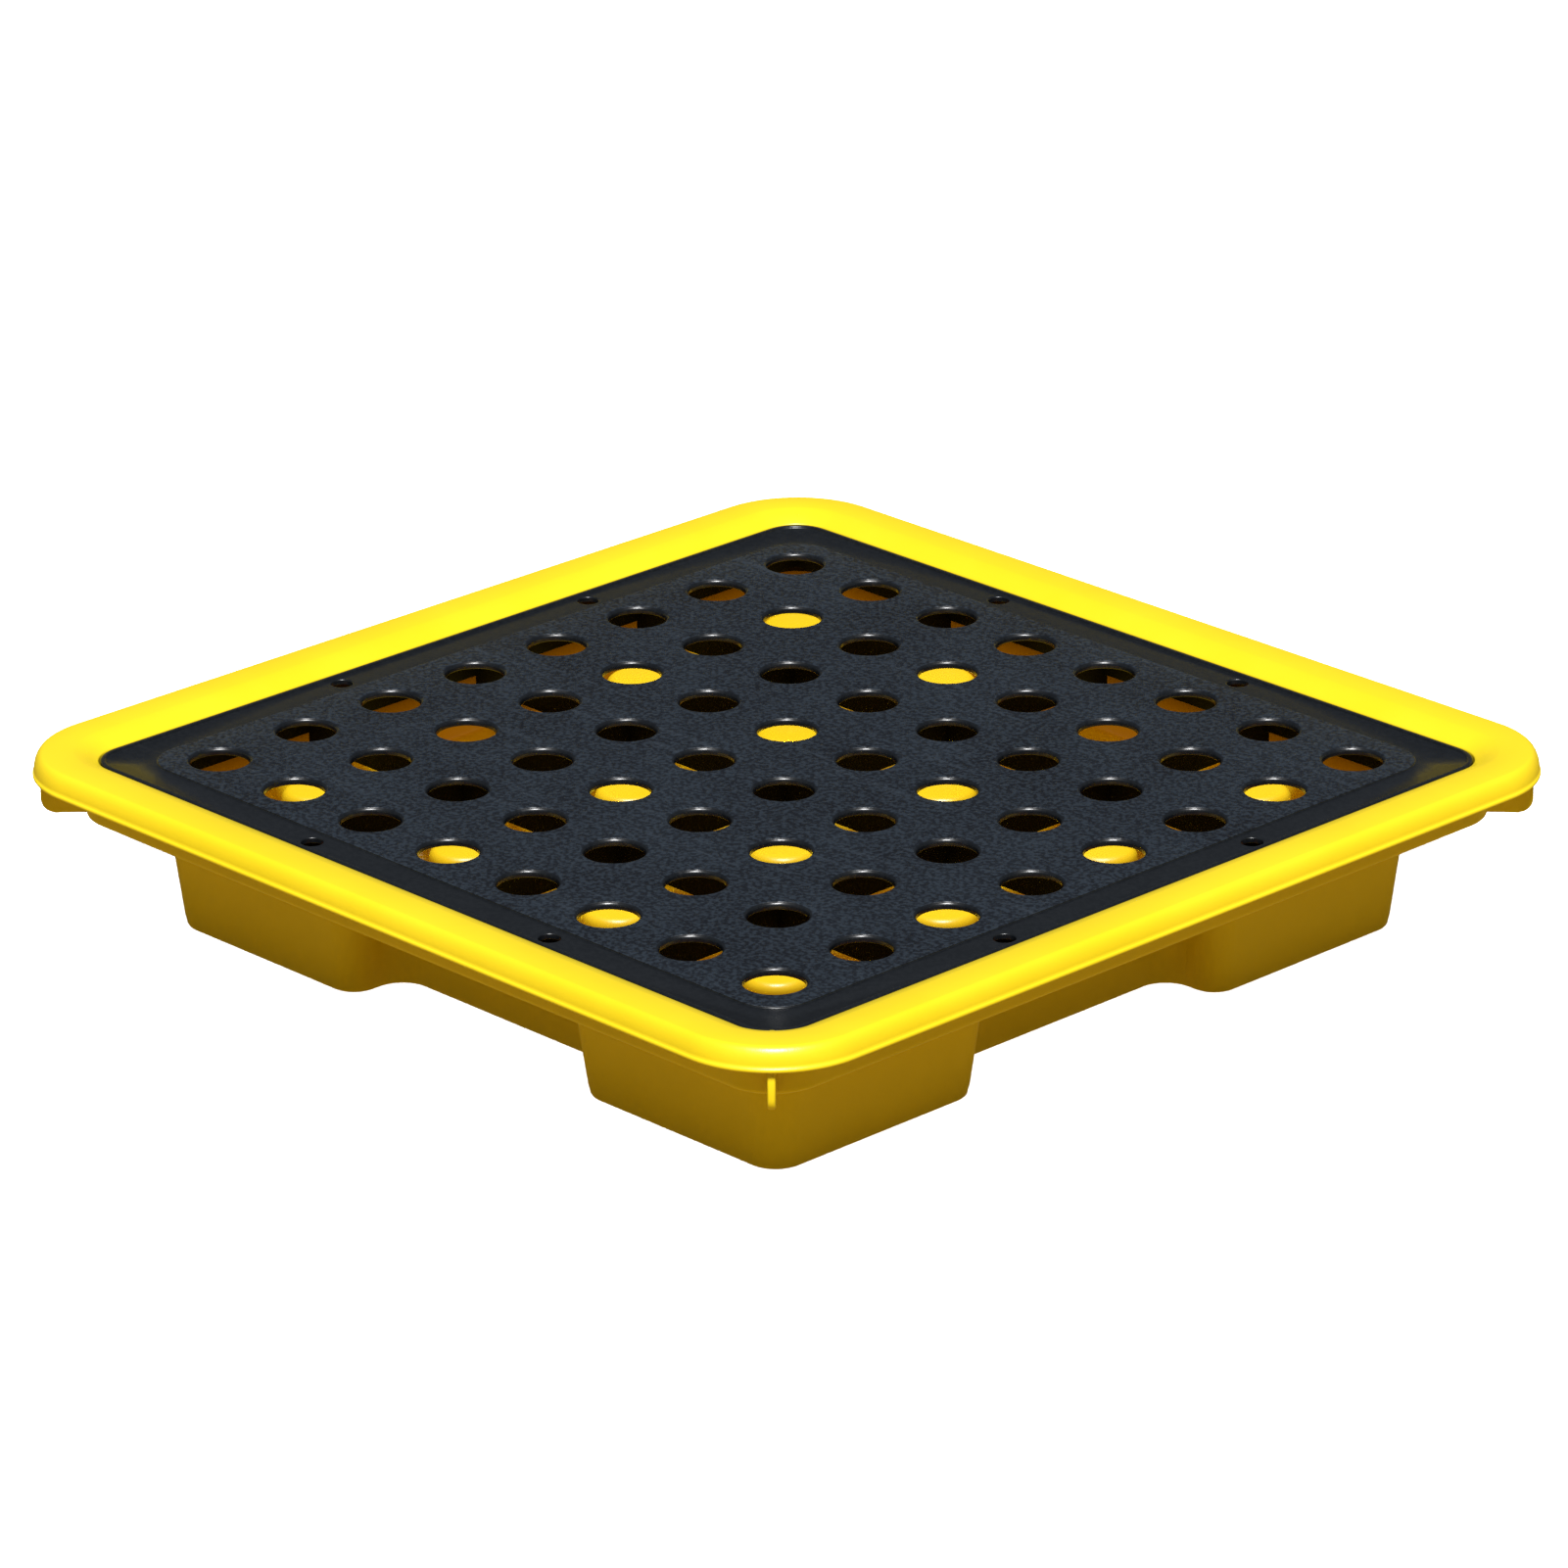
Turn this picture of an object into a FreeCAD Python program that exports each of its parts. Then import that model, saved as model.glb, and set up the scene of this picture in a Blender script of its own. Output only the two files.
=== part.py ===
import FreeCAD, Part
import math
import os

# Low spill containment pallet: a yellow moulded sump tray with a black lift-out deck.
# Frame: millimetres, +Z up, origin on the ground under the middle of the tray.
# The tray is one moulding. It is cut here into zones that meet face to face.

V = FreeCAD.Vector
UP = V(0, 0, 1)
ORIGIN = V(0, 0, 0)
NEAR = 0.01              # how close counts as the same height
DIAGONAL = math.sqrt(0.5)

# ---- driving dimensions ----
OUTER = 800.0            # overall width and depth over the rim
HEIGHT = 134.0           # ground to the crown of the rim
PITCH = 81.0             # spacing of the deck holes
HOLES_PER_SIDE = 8
WALL = 5.0               # general wall thickness of the tray moulding

# ---- heights above the ground ----
RIM_LIP_Z = 116.5        # lower edge of the rim's outer face
DECK_TOP = 126.0
PILLAR_TOP = 104.0
SHELF_TOP = 90.0         # the deck's skirt stands here
SHELF_BOTTOM = SHELF_TOP - WALL

# ---- tray plan, as half-widths from the middle ----
RIM_OUT = OUTER / 2
RIM_IN = 353.0
RIM_CORNER_R = 77.0      # plan radius of the rim's outer corners
BOX_OUT = 363.0          # outer face of the wall around the deck
CORNER_CENTRE = RIM_OUT - RIM_CORNER_R

# ---- rim section ----
CROWN_START = 371.0      # half-width where the crown reaches full height
CROWN_END = 392.0        # half-width where the outer face starts to fall
RIM_INNER_EDGE = 127.0   # height of the rim's inner edge
CROWN_RISE = 1.0         # bulge of the crown above a straight chamfer
RIM_SKIN = 4.5           # thickness of the rim
RIM_SEAT = RIM_INNER_EDGE - RIM_SKIN
LIP_WIDTH = 4.0

# ---- lower body: half-widths (ground, shelf) lean out for mould draft ----
FOOT_HALF = (309.5, 318.5)
FOOT_CORNER_R = (23.0, 27.0)
RECESS_HALF = (262.0, 270.0)     # face of the set-back in the middle of each side
RECESS_LENGTH = (116.0, 108.0)   # half-length of the set-back along the side
RECESS_R = 20.0                  # plan radius of its outer and inner corners

# ---- pillars that rise from the sump floor ----
PILLAR_R = (33.0, 24.0)          # outer radius at the ground and at the top
PILLAR_EDGE_R = 7.0
PILLAR_STEP = 78.5
PILLAR_PLACES = (-3, -1, 1, 3)   # in steps from the middle
PILLARS_LEFT_OUT = ((-3, -1), (1, 3))

# ---- corner gussets under the rim ----
GUSSET_T = 5.5
GUSSET_BOTTOM = 86.0
GUSSET_REACH = 529.0             # distance of the outer edge from the middle, on the diagonal
GUSSET_EDGE_R = 10.0

# ---- deck ----
DECK_HALF = 351.8
DECK_CORNER_R = DECK_HALF - CORNER_CENTRE
PLATEAU_HALF = 324.0
PLATEAU_R = 30.0
BAND_TOP = DECK_TOP - 1.2        # smooth border band round the raised plateau
PLATE_T = 4.2
PLATE_BOTTOM = BAND_TOP - PLATE_T
EDGE_LIP_TOP = DECK_TOP + 0.6    # small raised lip along the deck's outer edge
EDGE_LIP_T = 4.0
EDGE_LIP_R = 1.2
SKIRT_T = 4.0
HOLE_R = 21.3
HOLE_EDGE_R = 3.0
DRAIN_R = 7.8
DRAIN_EDGE_R = 1.0
DRAIN_FROM_MIDDLE = 337.5
DRAIN_ALONG = 1.5 * PITCH
RIB_T = 4.0
RIB_BOTTOM = DECK_TOP - 34.0
EDGE_RIB_BOTTOM = DECK_TOP - 23.0
RIB_STEP = 2 * PITCH
RIBS_FROM_MIDDLE = 2


def rounded_square(half, radius, z):
    """Closed wire: a square of half-width half with rounded corners, at height z."""
    wire_parts = []
    straight = half - radius
    for quarter in range(4):
        turn = FreeCAD.Rotation(UP, 90.0 * quarter)
        side = (V(half, -straight, z), V(half, straight, z))
        middle = V(straight + radius * DIAGONAL, straight + radius * DIAGONAL, z)
        end = V(straight, half, z)
        points = [turn.multVec(p) for p in (*side, middle, end)]
        wire_parts.append(Part.LineSegment(points[0], points[1]).toShape())
        wire_parts.append(Part.Arc(points[1], points[2], points[3]).toShape())
    return Part.Wire(wire_parts)


def plate(half, radius, bottom, top):
    """Flat rounded square slab."""
    return Part.Face(rounded_square(half, radius, bottom)).extrude(V(0, 0, top - bottom))


def slab(bottom, top):
    """Block over the whole plan between two heights."""
    return Part.makeBox(OUTER, OUTER, top - bottom, V(-OUTER / 2, -OUTER / 2, bottom))


def edges_at(shape, z):
    """Edges that lie flat at height z."""
    return [e for e in shape.Edges if e.BoundBox.ZMin > z - NEAR and e.BoundBox.ZMax < z + NEAR]


def quarter_arc(centre, radius, start_deg, sweep_deg, z):
    """Arc edge in plan, from start_deg through sweep_deg."""
    def point(angle):
        a = math.radians(angle)
        return V(centre[0] + radius * math.cos(a), centre[1] + radius * math.sin(a), z)
    middle_deg = start_deg + sweep_deg / 2
    return Part.Arc(point(start_deg), point(middle_deg), point(start_deg + sweep_deg)).toShape()


def body_side(inset, level, z):
    """Edges of one side of the lower body, facing +X, from one corner to the next."""
    foot = FOOT_HALF[level] - inset
    corner = FOOT_CORNER_R[level] - inset
    face = RECESS_HALF[level] - inset
    end = RECESS_LENGTH[level] + inset
    nose = RECESS_R - inset      # convex corner of the foot, thinner on the inside
    hollow = RECESS_R + inset    # concave corner at the recess face
    arcs = [
        quarter_arc((foot - nose, -end - nose), nose, 0, 90, z),
        quarter_arc((face + hollow, -end + hollow), hollow, 270, -90, z),
        quarter_arc((face + hollow, end - hollow), hollow, 180, -90, z),
        quarter_arc((foot - nose, end + nose), nose, 270, 90, z),
        quarter_arc((foot - corner, foot - corner), corner, 0, 90, z),
    ]
    edges = []
    here = V(foot, -foot + corner, z)
    for arc in arcs:
        edges.append(Part.LineSegment(here, arc.Vertexes[0].Point).toShape())
        edges.append(arc)
        here = arc.Vertexes[-1].Point
    return edges


def body_outline(inset, level, z):
    """Plan of the lower body: a square whose sides are set back between the corner feet."""
    side = body_side(inset, level, z)
    edges = []
    for quarter in range(4):
        for edge in side:
            turned = edge.copy()
            turned.rotate(ORIGIN, UP, 90.0 * quarter)
            edges.append(turned)
    return Part.Wire(edges)


def drafted_body(inset):
    """Solid lower body between the ground and the underside of the shelf."""
    return Part.makeLoft([body_outline(inset, 0, 0.0), body_outline(inset, 1, SHELF_BOTTOM)], True, True)


def body_prism(bottom, top):
    """Straight continuation of the sump's inner outline at shelf height."""
    return Part.Face(body_outline(WALL, 1, bottom)).extrude(V(0, 0, top - bottom))


def ring(section):
    """Sweep a section, drawn in the XZ plane at the +X side, round the rounded square."""
    straight = 2 * CORNER_CENTRE
    prism = section.copy()
    prism.translate(V(0, -CORNER_CENTRE, 0))
    side = prism.extrude(V(0, straight, 0))
    at_corner = section.copy()
    at_corner.translate(V(0, CORNER_CENTRE, 0))
    corner = at_corner.revolve(V(CORNER_CENTRE, CORNER_CENTRE, 0), UP, 90)
    pieces = []
    for quarter in range(4):
        for piece in (side, corner):
            turned = piece.copy()
            turned.rotate(ORIGIN, UP, 90.0 * quarter)
            pieces.append(turned)
    return pieces[0].multiFuse(pieces[1:]).removeSplitter()


def section_point(half_width, z):
    return V(half_width, 0, z)


def roll(half_width, top):
    """Quarter ellipse from the flat crown at height top down to the lip at half_width."""
    centre = section_point(CROWN_END, RIM_LIP_Z)
    ellipse = Part.Ellipse(section_point(CROWN_END, top), section_point(half_width, RIM_LIP_Z), centre)
    return Part.ArcOfEllipse(ellipse, 0, math.pi / 2).toShape()


def rim_section():
    """Crowned top skin that rolls down to the outer lip."""
    lip = section_point(RIM_OUT, RIM_LIP_Z)
    under_lip = section_point(RIM_OUT - LIP_WIDTH, RIM_LIP_Z)
    seat = [
        section_point(BOX_OUT, HEIGHT - RIM_SKIN),
        section_point(BOX_OUT, RIM_SEAT),
        section_point(RIM_IN, RIM_SEAT),
        section_point(RIM_IN, RIM_INNER_EDGE),
    ]
    inner_roll = section_point((RIM_IN + CROWN_START) / 2, (RIM_INNER_EDGE + HEIGHT) / 2 + CROWN_RISE)
    crown_start = section_point(CROWN_START, HEIGHT)
    edges = [
        roll(RIM_OUT, HEIGHT),
        Part.LineSegment(lip, under_lip).toShape(),
        roll(RIM_OUT - LIP_WIDTH, HEIGHT - RIM_SKIN),
    ]
    here = section_point(CROWN_END, HEIGHT - RIM_SKIN)
    for corner in seat:
        edges.append(Part.LineSegment(here, corner).toShape())
        here = corner
    edges.append(Part.Arc(here, inner_roll, crown_start).toShape())
    edges.append(Part.LineSegment(crown_start, section_point(CROWN_END, HEIGHT)).toShape())
    return Part.Face(Part.Wire(Part.__sortEdges__(edges)))


def box_wall_section():
    """Upright wall round the deck, from the shelf up to the rim."""
    corners = [
        section_point(RIM_IN, SHELF_TOP),
        section_point(BOX_OUT, SHELF_TOP),
        section_point(BOX_OUT, RIM_SEAT),
        section_point(RIM_IN, RIM_SEAT),
    ]
    return Part.Face(Part.makePolygon([*corners, corners[0]]))


def rim_flange():
    return ring(rim_section())


def deck_ledge():
    """Box wall and the shelf that the deck's skirt stands on."""
    shelf = plate(BOX_OUT, BOX_OUT - CORNER_CENTRE, SHELF_BOTTOM, SHELF_TOP)
    shelf = shelf.cut(body_prism(SHELF_BOTTOM - WALL, SHELF_TOP + WALL))
    return ring(box_wall_section()).fuse(shelf).removeSplitter()


def pillar_spots():
    """Plan positions of the pillars, by grid place."""
    for column in PILLAR_PLACES:
        for row in PILLAR_PLACES:
            if (column, row) not in PILLARS_LEFT_OUT:
                yield V(column * PILLAR_STEP, row * PILLAR_STEP, 0)


def inner_void():
    """Space inside the sump: a pillar that would pass through a recess wall stops at it."""
    above_shelf = plate(RIM_IN, RIM_IN - CORNER_CENTRE, SHELF_TOP, HEIGHT)
    below = drafted_body(WALL).fuse(body_prism(SHELF_BOTTOM, SHELF_TOP))
    return below.fuse(above_shelf)


def pillar_core(spot):
    """Hollow inside a pillar, open to the ground."""
    core = Part.makeCone(PILLAR_R[0] - WALL, PILLAR_R[1] - WALL, PILLAR_TOP - WALL)
    core.translate(spot)
    return core


def pillar(spot, void):
    outside = Part.makeCone(PILLAR_R[0], PILLAR_R[1], PILLAR_TOP)
    outside = outside.makeFillet(PILLAR_EDGE_R, edges_at(outside, PILLAR_TOP))
    outside.translate(spot)
    return outside.common(slab(WALL, HEIGHT)).common(void).cut(pillar_core(spot))


def sump_floor(void):
    floor = drafted_body(0.0).common(slab(0, WALL))
    for spot in pillar_spots():
        floor = floor.cut(pillar_core(spot).common(void))
    return floor


def sump_wall():
    return drafted_body(0.0).cut(drafted_body(WALL)).common(slab(WALL, HEIGHT))


def corner_gusset(quarter, neighbours):
    """Thin upright fin on the diagonal, between the box wall and the rim."""
    inner = CORNER_CENTRE / DIAGONAL + BOX_OUT - CORNER_CENTRE - WALL
    size = (GUSSET_REACH - inner, GUSSET_T, HEIGHT - GUSSET_BOTTOM)
    fin = Part.makeBox(*size, V(inner, -GUSSET_T / 2, GUSSET_BOTTOM))
    low_outer = [e for e in edges_at(fin, GUSSET_BOTTOM) if e.BoundBox.XMin > GUSSET_REACH - NEAR]
    fin = fin.makeFillet(GUSSET_EDGE_R, low_outer)
    fin.rotate(ORIGIN, UP, 45.0 + 90.0 * quarter)
    for neighbour in neighbours:
        fin = fin.cut(neighbour)
    solids = sorted(fin.Solids, key=lambda s: s.BoundBox.ZMin)
    return solids[0]


def flared_hole(radius, edge_radius, top):
    """Cutter for a round hole whose top edge is rolled over."""
    above = top + PLATE_T
    below = top - 2 * PLATE_T
    outer = section_point(radius + edge_radius, top)
    part_way = edge_radius * (1 - DIAGONAL)
    middle = section_point(radius + part_way, top - part_way)
    inner = section_point(radius, top - edge_radius)
    roll_over = Part.Arc(outer, middle, inner).toShape()
    rest = [inner, section_point(radius, below), section_point(0, below), section_point(0, above)]
    rest += [section_point(outer.x, above), outer]
    outline = [roll_over] + Part.makePolygon(rest).Edges
    return Part.Face(Part.Wire(outline)).revolve(ORIGIN, UP, 360)


def hole_spots():
    first = -(HOLES_PER_SIDE - 1) / 2 * PITCH
    for column in range(HOLES_PER_SIDE):
        for row in range(HOLES_PER_SIDE):
            yield V(first + column * PITCH, first + row * PITCH, 0)


def drain_spots():
    """Two small drain holes in the border band on each side."""
    for quarter in range(4):
        turn = FreeCAD.Rotation(UP, 90.0 * quarter)
        for along in (-DRAIN_ALONG, DRAIN_ALONG):
            yield turn.multVec(V(DRAIN_FROM_MIDDLE, along, 0))


def edge_lip():
    """Small raised lip along the deck's outer edge."""
    inner = DECK_HALF - EDGE_LIP_T
    lip = plate(DECK_HALF, DECK_CORNER_R, PLATE_BOTTOM, EDGE_LIP_TOP)
    lip = lip.cut(plate(inner, inner - CORNER_CENTRE, PLATE_BOTTOM, EDGE_LIP_TOP))
    return lip.makeFillet(EDGE_LIP_R, edges_at(lip, EDGE_LIP_TOP))


def deck_plate():
    """Plate with a raised plateau and a smooth border band, the load holes and the drain holes."""
    band = plate(DECK_HALF, DECK_CORNER_R, PLATE_BOTTOM, BAND_TOP).fuse(edge_lip())
    plateau = plate(PLATEAU_HALF, PLATEAU_R, BAND_TOP, DECK_TOP)
    plateau = plateau.makeFillet((DECK_TOP - BAND_TOP) / 2, edges_at(plateau, DECK_TOP))
    deck = band.fuse(plateau).removeSplitter()
    hole = flared_hole(HOLE_R, HOLE_EDGE_R, DECK_TOP)
    drain = flared_hole(DRAIN_R, DRAIN_EDGE_R, BAND_TOP)
    cutters = [hole.translated(spot) for spot in hole_spots()]
    cutters += [drain.translated(spot) for spot in drain_spots()]
    return deck.cut(Part.makeCompound(cutters))


def rib_lines():
    """Offset and lower edge of each rib: shallower along the plateau's edge."""
    for line in range(-RIBS_FROM_MIDDLE, RIBS_FROM_MIDDLE + 1):
        on_edge = abs(line) == RIBS_FROM_MIDDLE
        yield line * RIB_STEP, EDGE_RIB_BOTTOM if on_edge else RIB_BOTTOM


def long_ribs():
    """Upright ribs under the deck that run the whole way along X."""
    reach = RIBS_FROM_MIDDLE * RIB_STEP + RIB_T / 2
    ribs = []
    for offset, bottom in rib_lines():
        corner = V(-reach, offset - RIB_T / 2, bottom)
        ribs.append(Part.makeBox(2 * reach, RIB_T, PLATE_BOTTOM - bottom, corner))
    return ribs


def cross_ribs(long):
    """Upright ribs along Y, in lengths that fit between the long ribs."""
    reach = RIBS_FROM_MIDDLE * RIB_STEP - RIB_T / 2
    ribs = []
    for offset, bottom in rib_lines():
        corner = V(offset - RIB_T / 2, -reach, bottom)
        whole = Part.makeBox(RIB_T, 2 * reach, PLATE_BOTTOM - bottom, corner)
        ribs.append(whole.cut(long))
    return ribs


def deck_skirt():
    """Upright wall under the deck's edge, standing on the tray's shelf."""
    inner = DECK_HALF - SKIRT_T
    outer_block = plate(DECK_HALF, DECK_CORNER_R, SHELF_TOP, PLATE_BOTTOM)
    return outer_block.cut(plate(inner, inner - CORNER_CENTRE, SHELF_TOP, PLATE_BOTTOM))


def build():
    void = inner_void()
    nodes = {
        "sump_floor": sump_floor(void),
        "sump_wall": sump_wall(),
        "deck_ledge": deck_ledge(),
        "rim_flange": rim_flange(),
        "deck_plate": deck_plate(),
        "deck_skirt": deck_skirt(),
    }
    for quarter in range(4):
        neighbours = (nodes["rim_flange"], nodes["deck_ledge"])
        nodes[f"corner_gusset_{quarter + 1}"] = corner_gusset(quarter, neighbours)
    for number, spot in enumerate(pillar_spots(), start=1):
        nodes[f"support_pillar_{number}"] = pillar(spot, void)
    long = long_ribs()
    for number, (long_rib, cross_rib) in enumerate(zip(long, cross_ribs(long)), start=1):
        nodes[f"deck_long_rib_{number}"] = long_rib
        nodes[f"deck_cross_rib_{number}"] = cross_rib
    return nodes


os.makedirs("parts", exist_ok=True)
for name, shape in build().items():
    print(name, "valid", shape.isValid(), "solids", len(shape.Solids), "litres", round(shape.Volume / 1e6, 3))
    shape.exportStep(f"parts/{name}.step")
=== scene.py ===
import math

import bmesh
import bpy
from mathutils import Matrix, Vector
from mathutils.geometry import delaunay_2d_cdt


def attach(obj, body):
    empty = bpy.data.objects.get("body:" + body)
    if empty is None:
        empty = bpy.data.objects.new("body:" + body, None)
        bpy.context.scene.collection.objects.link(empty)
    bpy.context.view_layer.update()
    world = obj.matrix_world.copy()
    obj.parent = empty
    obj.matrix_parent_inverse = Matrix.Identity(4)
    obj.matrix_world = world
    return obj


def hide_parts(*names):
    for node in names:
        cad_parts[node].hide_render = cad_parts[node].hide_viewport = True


# Spill containment pallet: a yellow moulded sump tray with a black lift-out deck.
# Metres, +Z up, origin on the ground under the middle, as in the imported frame.
# The tray and the deck are drawn here as continuous mouldings with soft edges, on the frame's dimensions.

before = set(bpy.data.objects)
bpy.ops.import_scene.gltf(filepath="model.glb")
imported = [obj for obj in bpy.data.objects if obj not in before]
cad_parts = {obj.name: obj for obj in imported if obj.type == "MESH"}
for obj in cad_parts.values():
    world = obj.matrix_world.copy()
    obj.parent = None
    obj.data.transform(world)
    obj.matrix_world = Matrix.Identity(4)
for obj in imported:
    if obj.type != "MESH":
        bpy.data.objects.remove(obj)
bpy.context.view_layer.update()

MM = 0.001

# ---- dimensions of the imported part, in millimetres ----
PITCH = 81.0
HOLES_PER_SIDE = 8
RIM_OUT = 400.0
RIM_IN = 353.0
HEIGHT = 134.0
CORNER_CENTRE = 323.0
RIM_LIP_Z = 116.5
RIM_INNER_EDGE = 127.0
CROWN_START = 371.0
CROWN_END = 392.0
CROWN_RISE = 1.0
RIM_SKIN = 4.5
LIP_WIDTH = 4.0
WALL = 5.0
BOX_OUT = 363.0
SHELF_TOP = 90.0
SHELF_BOTTOM = 85.0
DECK_TOP = 126.0
FOOT_HALF = (309.5, 318.5)
FOOT_CORNER_R = (23.0, 27.0)
RECESS_HALF = (262.0, 270.0)
RECESS_LENGTH = (116.0, 108.0)
RECESS_R = 20.0
PILLAR_TOP = 104.0
PILLAR_R = (33.0, 24.0)
PILLAR_EDGE_R = 7.0
PILLAR_STEP = 78.5
PILLAR_HOLLOW_HEIGHTS = (WALL, 30.0, 60.0, PILLAR_TOP - WALL)
PILLAR_PLACES = (-3, -1, 1, 3)
PILLARS_LEFT_OUT = ((-3, -1), (1, 3))
GUSSET_T = 5.5
GUSSET_BOTTOM = 86.0
GUSSET_REACH = 529.0
GUSSET_EDGE_R = 10.0
GUSSET_ROOT = 2.0        # how far the fin runs into the box wall
GUSSET_SEAT = 1.5        # and into the rim above it
DECK_HALF = 351.8
PLATEAU_HALF = 324.0
PLATEAU_R = 30.0
BAND_TOP = DECK_TOP - 1.2
PLATE_BOTTOM = BAND_TOP - 4.2
EDGE_LIP_TOP = DECK_TOP + 0.6
EDGE_LIP_T = 4.0
EDGE_LIP_R = 1.2
SKIRT_T = 4.0
HOLE_R = 21.3
HOLE_EDGE_R = 3.0
DRAIN_R = 7.8
DRAIN_EDGE_R = 1.0
DRAIN_FROM_MIDDLE = 337.5
DRAIN_ALONG = 1.5 * PITCH
RIB_T = 4.0
RIB_BOTTOM = DECK_TOP - 34.0
EDGE_RIB_BOTTOM = DECK_TOP - 23.0
RIB_STEP = 2 * PITCH
RIBS_FROM_MIDDLE = 2

# ---- soft edges, in millimetres ----
SHELF_EDGE_R = 4.0       # box wall into the shelf's underside
BODY_TOP_R = 4.0         # shelf's underside into the lower body
FOOT_EDGE_R = 4.0        # lower body into the ground face
FLOOR_R = 4.0            # inside corners: the shelf's, the sump floor's and each pillar's foot
SHELF_LIP_R = 3.0        # shelf's inner edge
LIP_BEAD_R = 2.0
BEAD_STAND = 0.9         # how far the lip's bead stands out from the rim's outer face
BEAD_NECK = 0.8          # height of the neck above the bead's middle, in bead radii
BEAD_START = 50          # degrees above level where the bead's round begins
RIM_EDGE_R = 1.8         # rim's inner edge
RIM_EDGE_SWEEP = 55      # degrees it turns through before the slope up to the crown
SEAT_R = 3.0             # rim's underside into the box wall
RIB_EDGE_R = 1.0
GUSSET_ROUND = 1.6
SKIRT_EDGE_R = 1.0
HOLE_LOW_R = 0.6         # load holes' lower edge
HOLE_LAND = 0.4          # flat ring kept round each load hole, which steadies the shading
DRAIN_LOW_R = 0.5
DRAIN_LAND = 0.2
STEP_LAND = 0.5          # the same flat strip on both sides of the plateau's step
LIP_LAND = 0.4           # and inside the edge lip

# ---- mesh fineness ----
CORNER_STEPS = 24
SMALL_STEPS = 8
STRAIGHT_STEPS = 10
HOLE_STEPS = 56
ROUND_STEPS = 5
ROLL_STEPS = 10
FINE_STEPS = 3           # the smallest rounds
DRAIN_STEPS = 32
GUSSET_STEPS = 6
BEVEL_STEPS = 4
SHARP_DEGREES = 50       # creases sharper than this stay sharp
SAME_POINT = 1e-6        # millimetres: nearer points are one when a flat face is filled
WELD = 1e-4              # and nearer vertices are joined when a mesh is finished


# ---------------------------------------------------------------- outlines
def quarter(point, turns):
    """A plan point turned by whole quarter turns."""
    x, y = point
    for _ in range(turns % 4):
        x, y = -y, x
    return (x, y)


def arc(centre, radius, start, sweep, steps):
    """Points on an arc in plan, both ends included, angles in degrees."""
    points = []
    for i in range(steps + 1):
        a = math.radians(start + sweep * i / steps)
        points.append((centre[0] + radius * math.cos(a), centre[1] + radius * math.sin(a)))
    return points


def lerp(pair, share):
    """The value a share of the way from the pair's first to its second."""
    return pair[0] + (pair[1] - pair[0]) * share


def body_side(inset, share):
    """Plan of one side of the lower body, facing +X. share is 0 at the ground and 1 at the shelf."""
    foot = lerp(FOOT_HALF, share) - inset
    corner = lerp(FOOT_CORNER_R, share) - inset
    face = lerp(RECESS_HALF, share) - inset
    end = lerp(RECESS_LENGTH, share) + inset
    nose = RECESS_R - inset
    hollow = RECESS_R + inset
    runs = [
        arc((foot - nose, -end - nose), nose, 0, 90, SMALL_STEPS),
        arc((face + hollow, -end + hollow), hollow, 270, -90, SMALL_STEPS),
        arc((face + hollow, end - hollow), hollow, 180, -90, SMALL_STEPS),
        arc((foot - nose, end + nose), nose, 270, 90, SMALL_STEPS),
        arc((foot - corner, foot - corner), corner, 0, 90, CORNER_STEPS),
    ]
    points = []
    here = (foot, -foot + corner)
    for run in runs:
        there = run[0]
        for i in range(STRAIGHT_STEPS):
            t = i / STRAIGHT_STEPS
            points.append((lerp((here[0], there[0]), t), lerp((here[1], there[1]), t)))
        points += run[:-1]
        here = run[-1]
    return points


def body_loop(inset, share):
    """Closed plan of the lower body."""
    side = body_side(inset, share)
    return [quarter(p, turns) for turns in range(4) for p in side]


def ring_marks():
    """For each point of a body side: its share of a ring's straight side, or its angle in the corner."""
    side = body_side(0.0, 1.0)
    straight = FOOT_HALF[1] - FOOT_CORNER_R[1]
    marks = []
    for i, (_, y) in enumerate(side):
        in_corner = i - (len(side) - CORNER_STEPS)
        if in_corner >= 0:
            marks.append(("angle", 90.0 * in_corner / CORNER_STEPS))
        else:
            marks.append(("along", y / straight))
    return marks


RING_MARKS = ring_marks()


def ring_loop(half):
    """Rounded square of the tray's upper part, with as many points as a body loop."""
    radius = half - CORNER_CENTRE
    side = []
    for kind, value in RING_MARKS:
        if kind == "along":
            side.append((half, value * CORNER_CENTRE))
        else:
            a = math.radians(value)
            side.append((CORNER_CENTRE + radius * math.cos(a), CORNER_CENTRE + radius * math.sin(a)))
    return [quarter(p, turns) for turns in range(4) for p in side]


def square_loop(half, radius):
    """Plain rounded square in plan."""
    corner = arc((half - radius, half - radius), radius, 0, 90, CORNER_STEPS)
    return [quarter(p, turns) for turns in range(4) for p in corner]


def circle(centre, radius, steps=HOLE_STEPS):
    """Closed circle in plan."""
    return arc(centre, radius, 0, 360, steps)[:-1]


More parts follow.
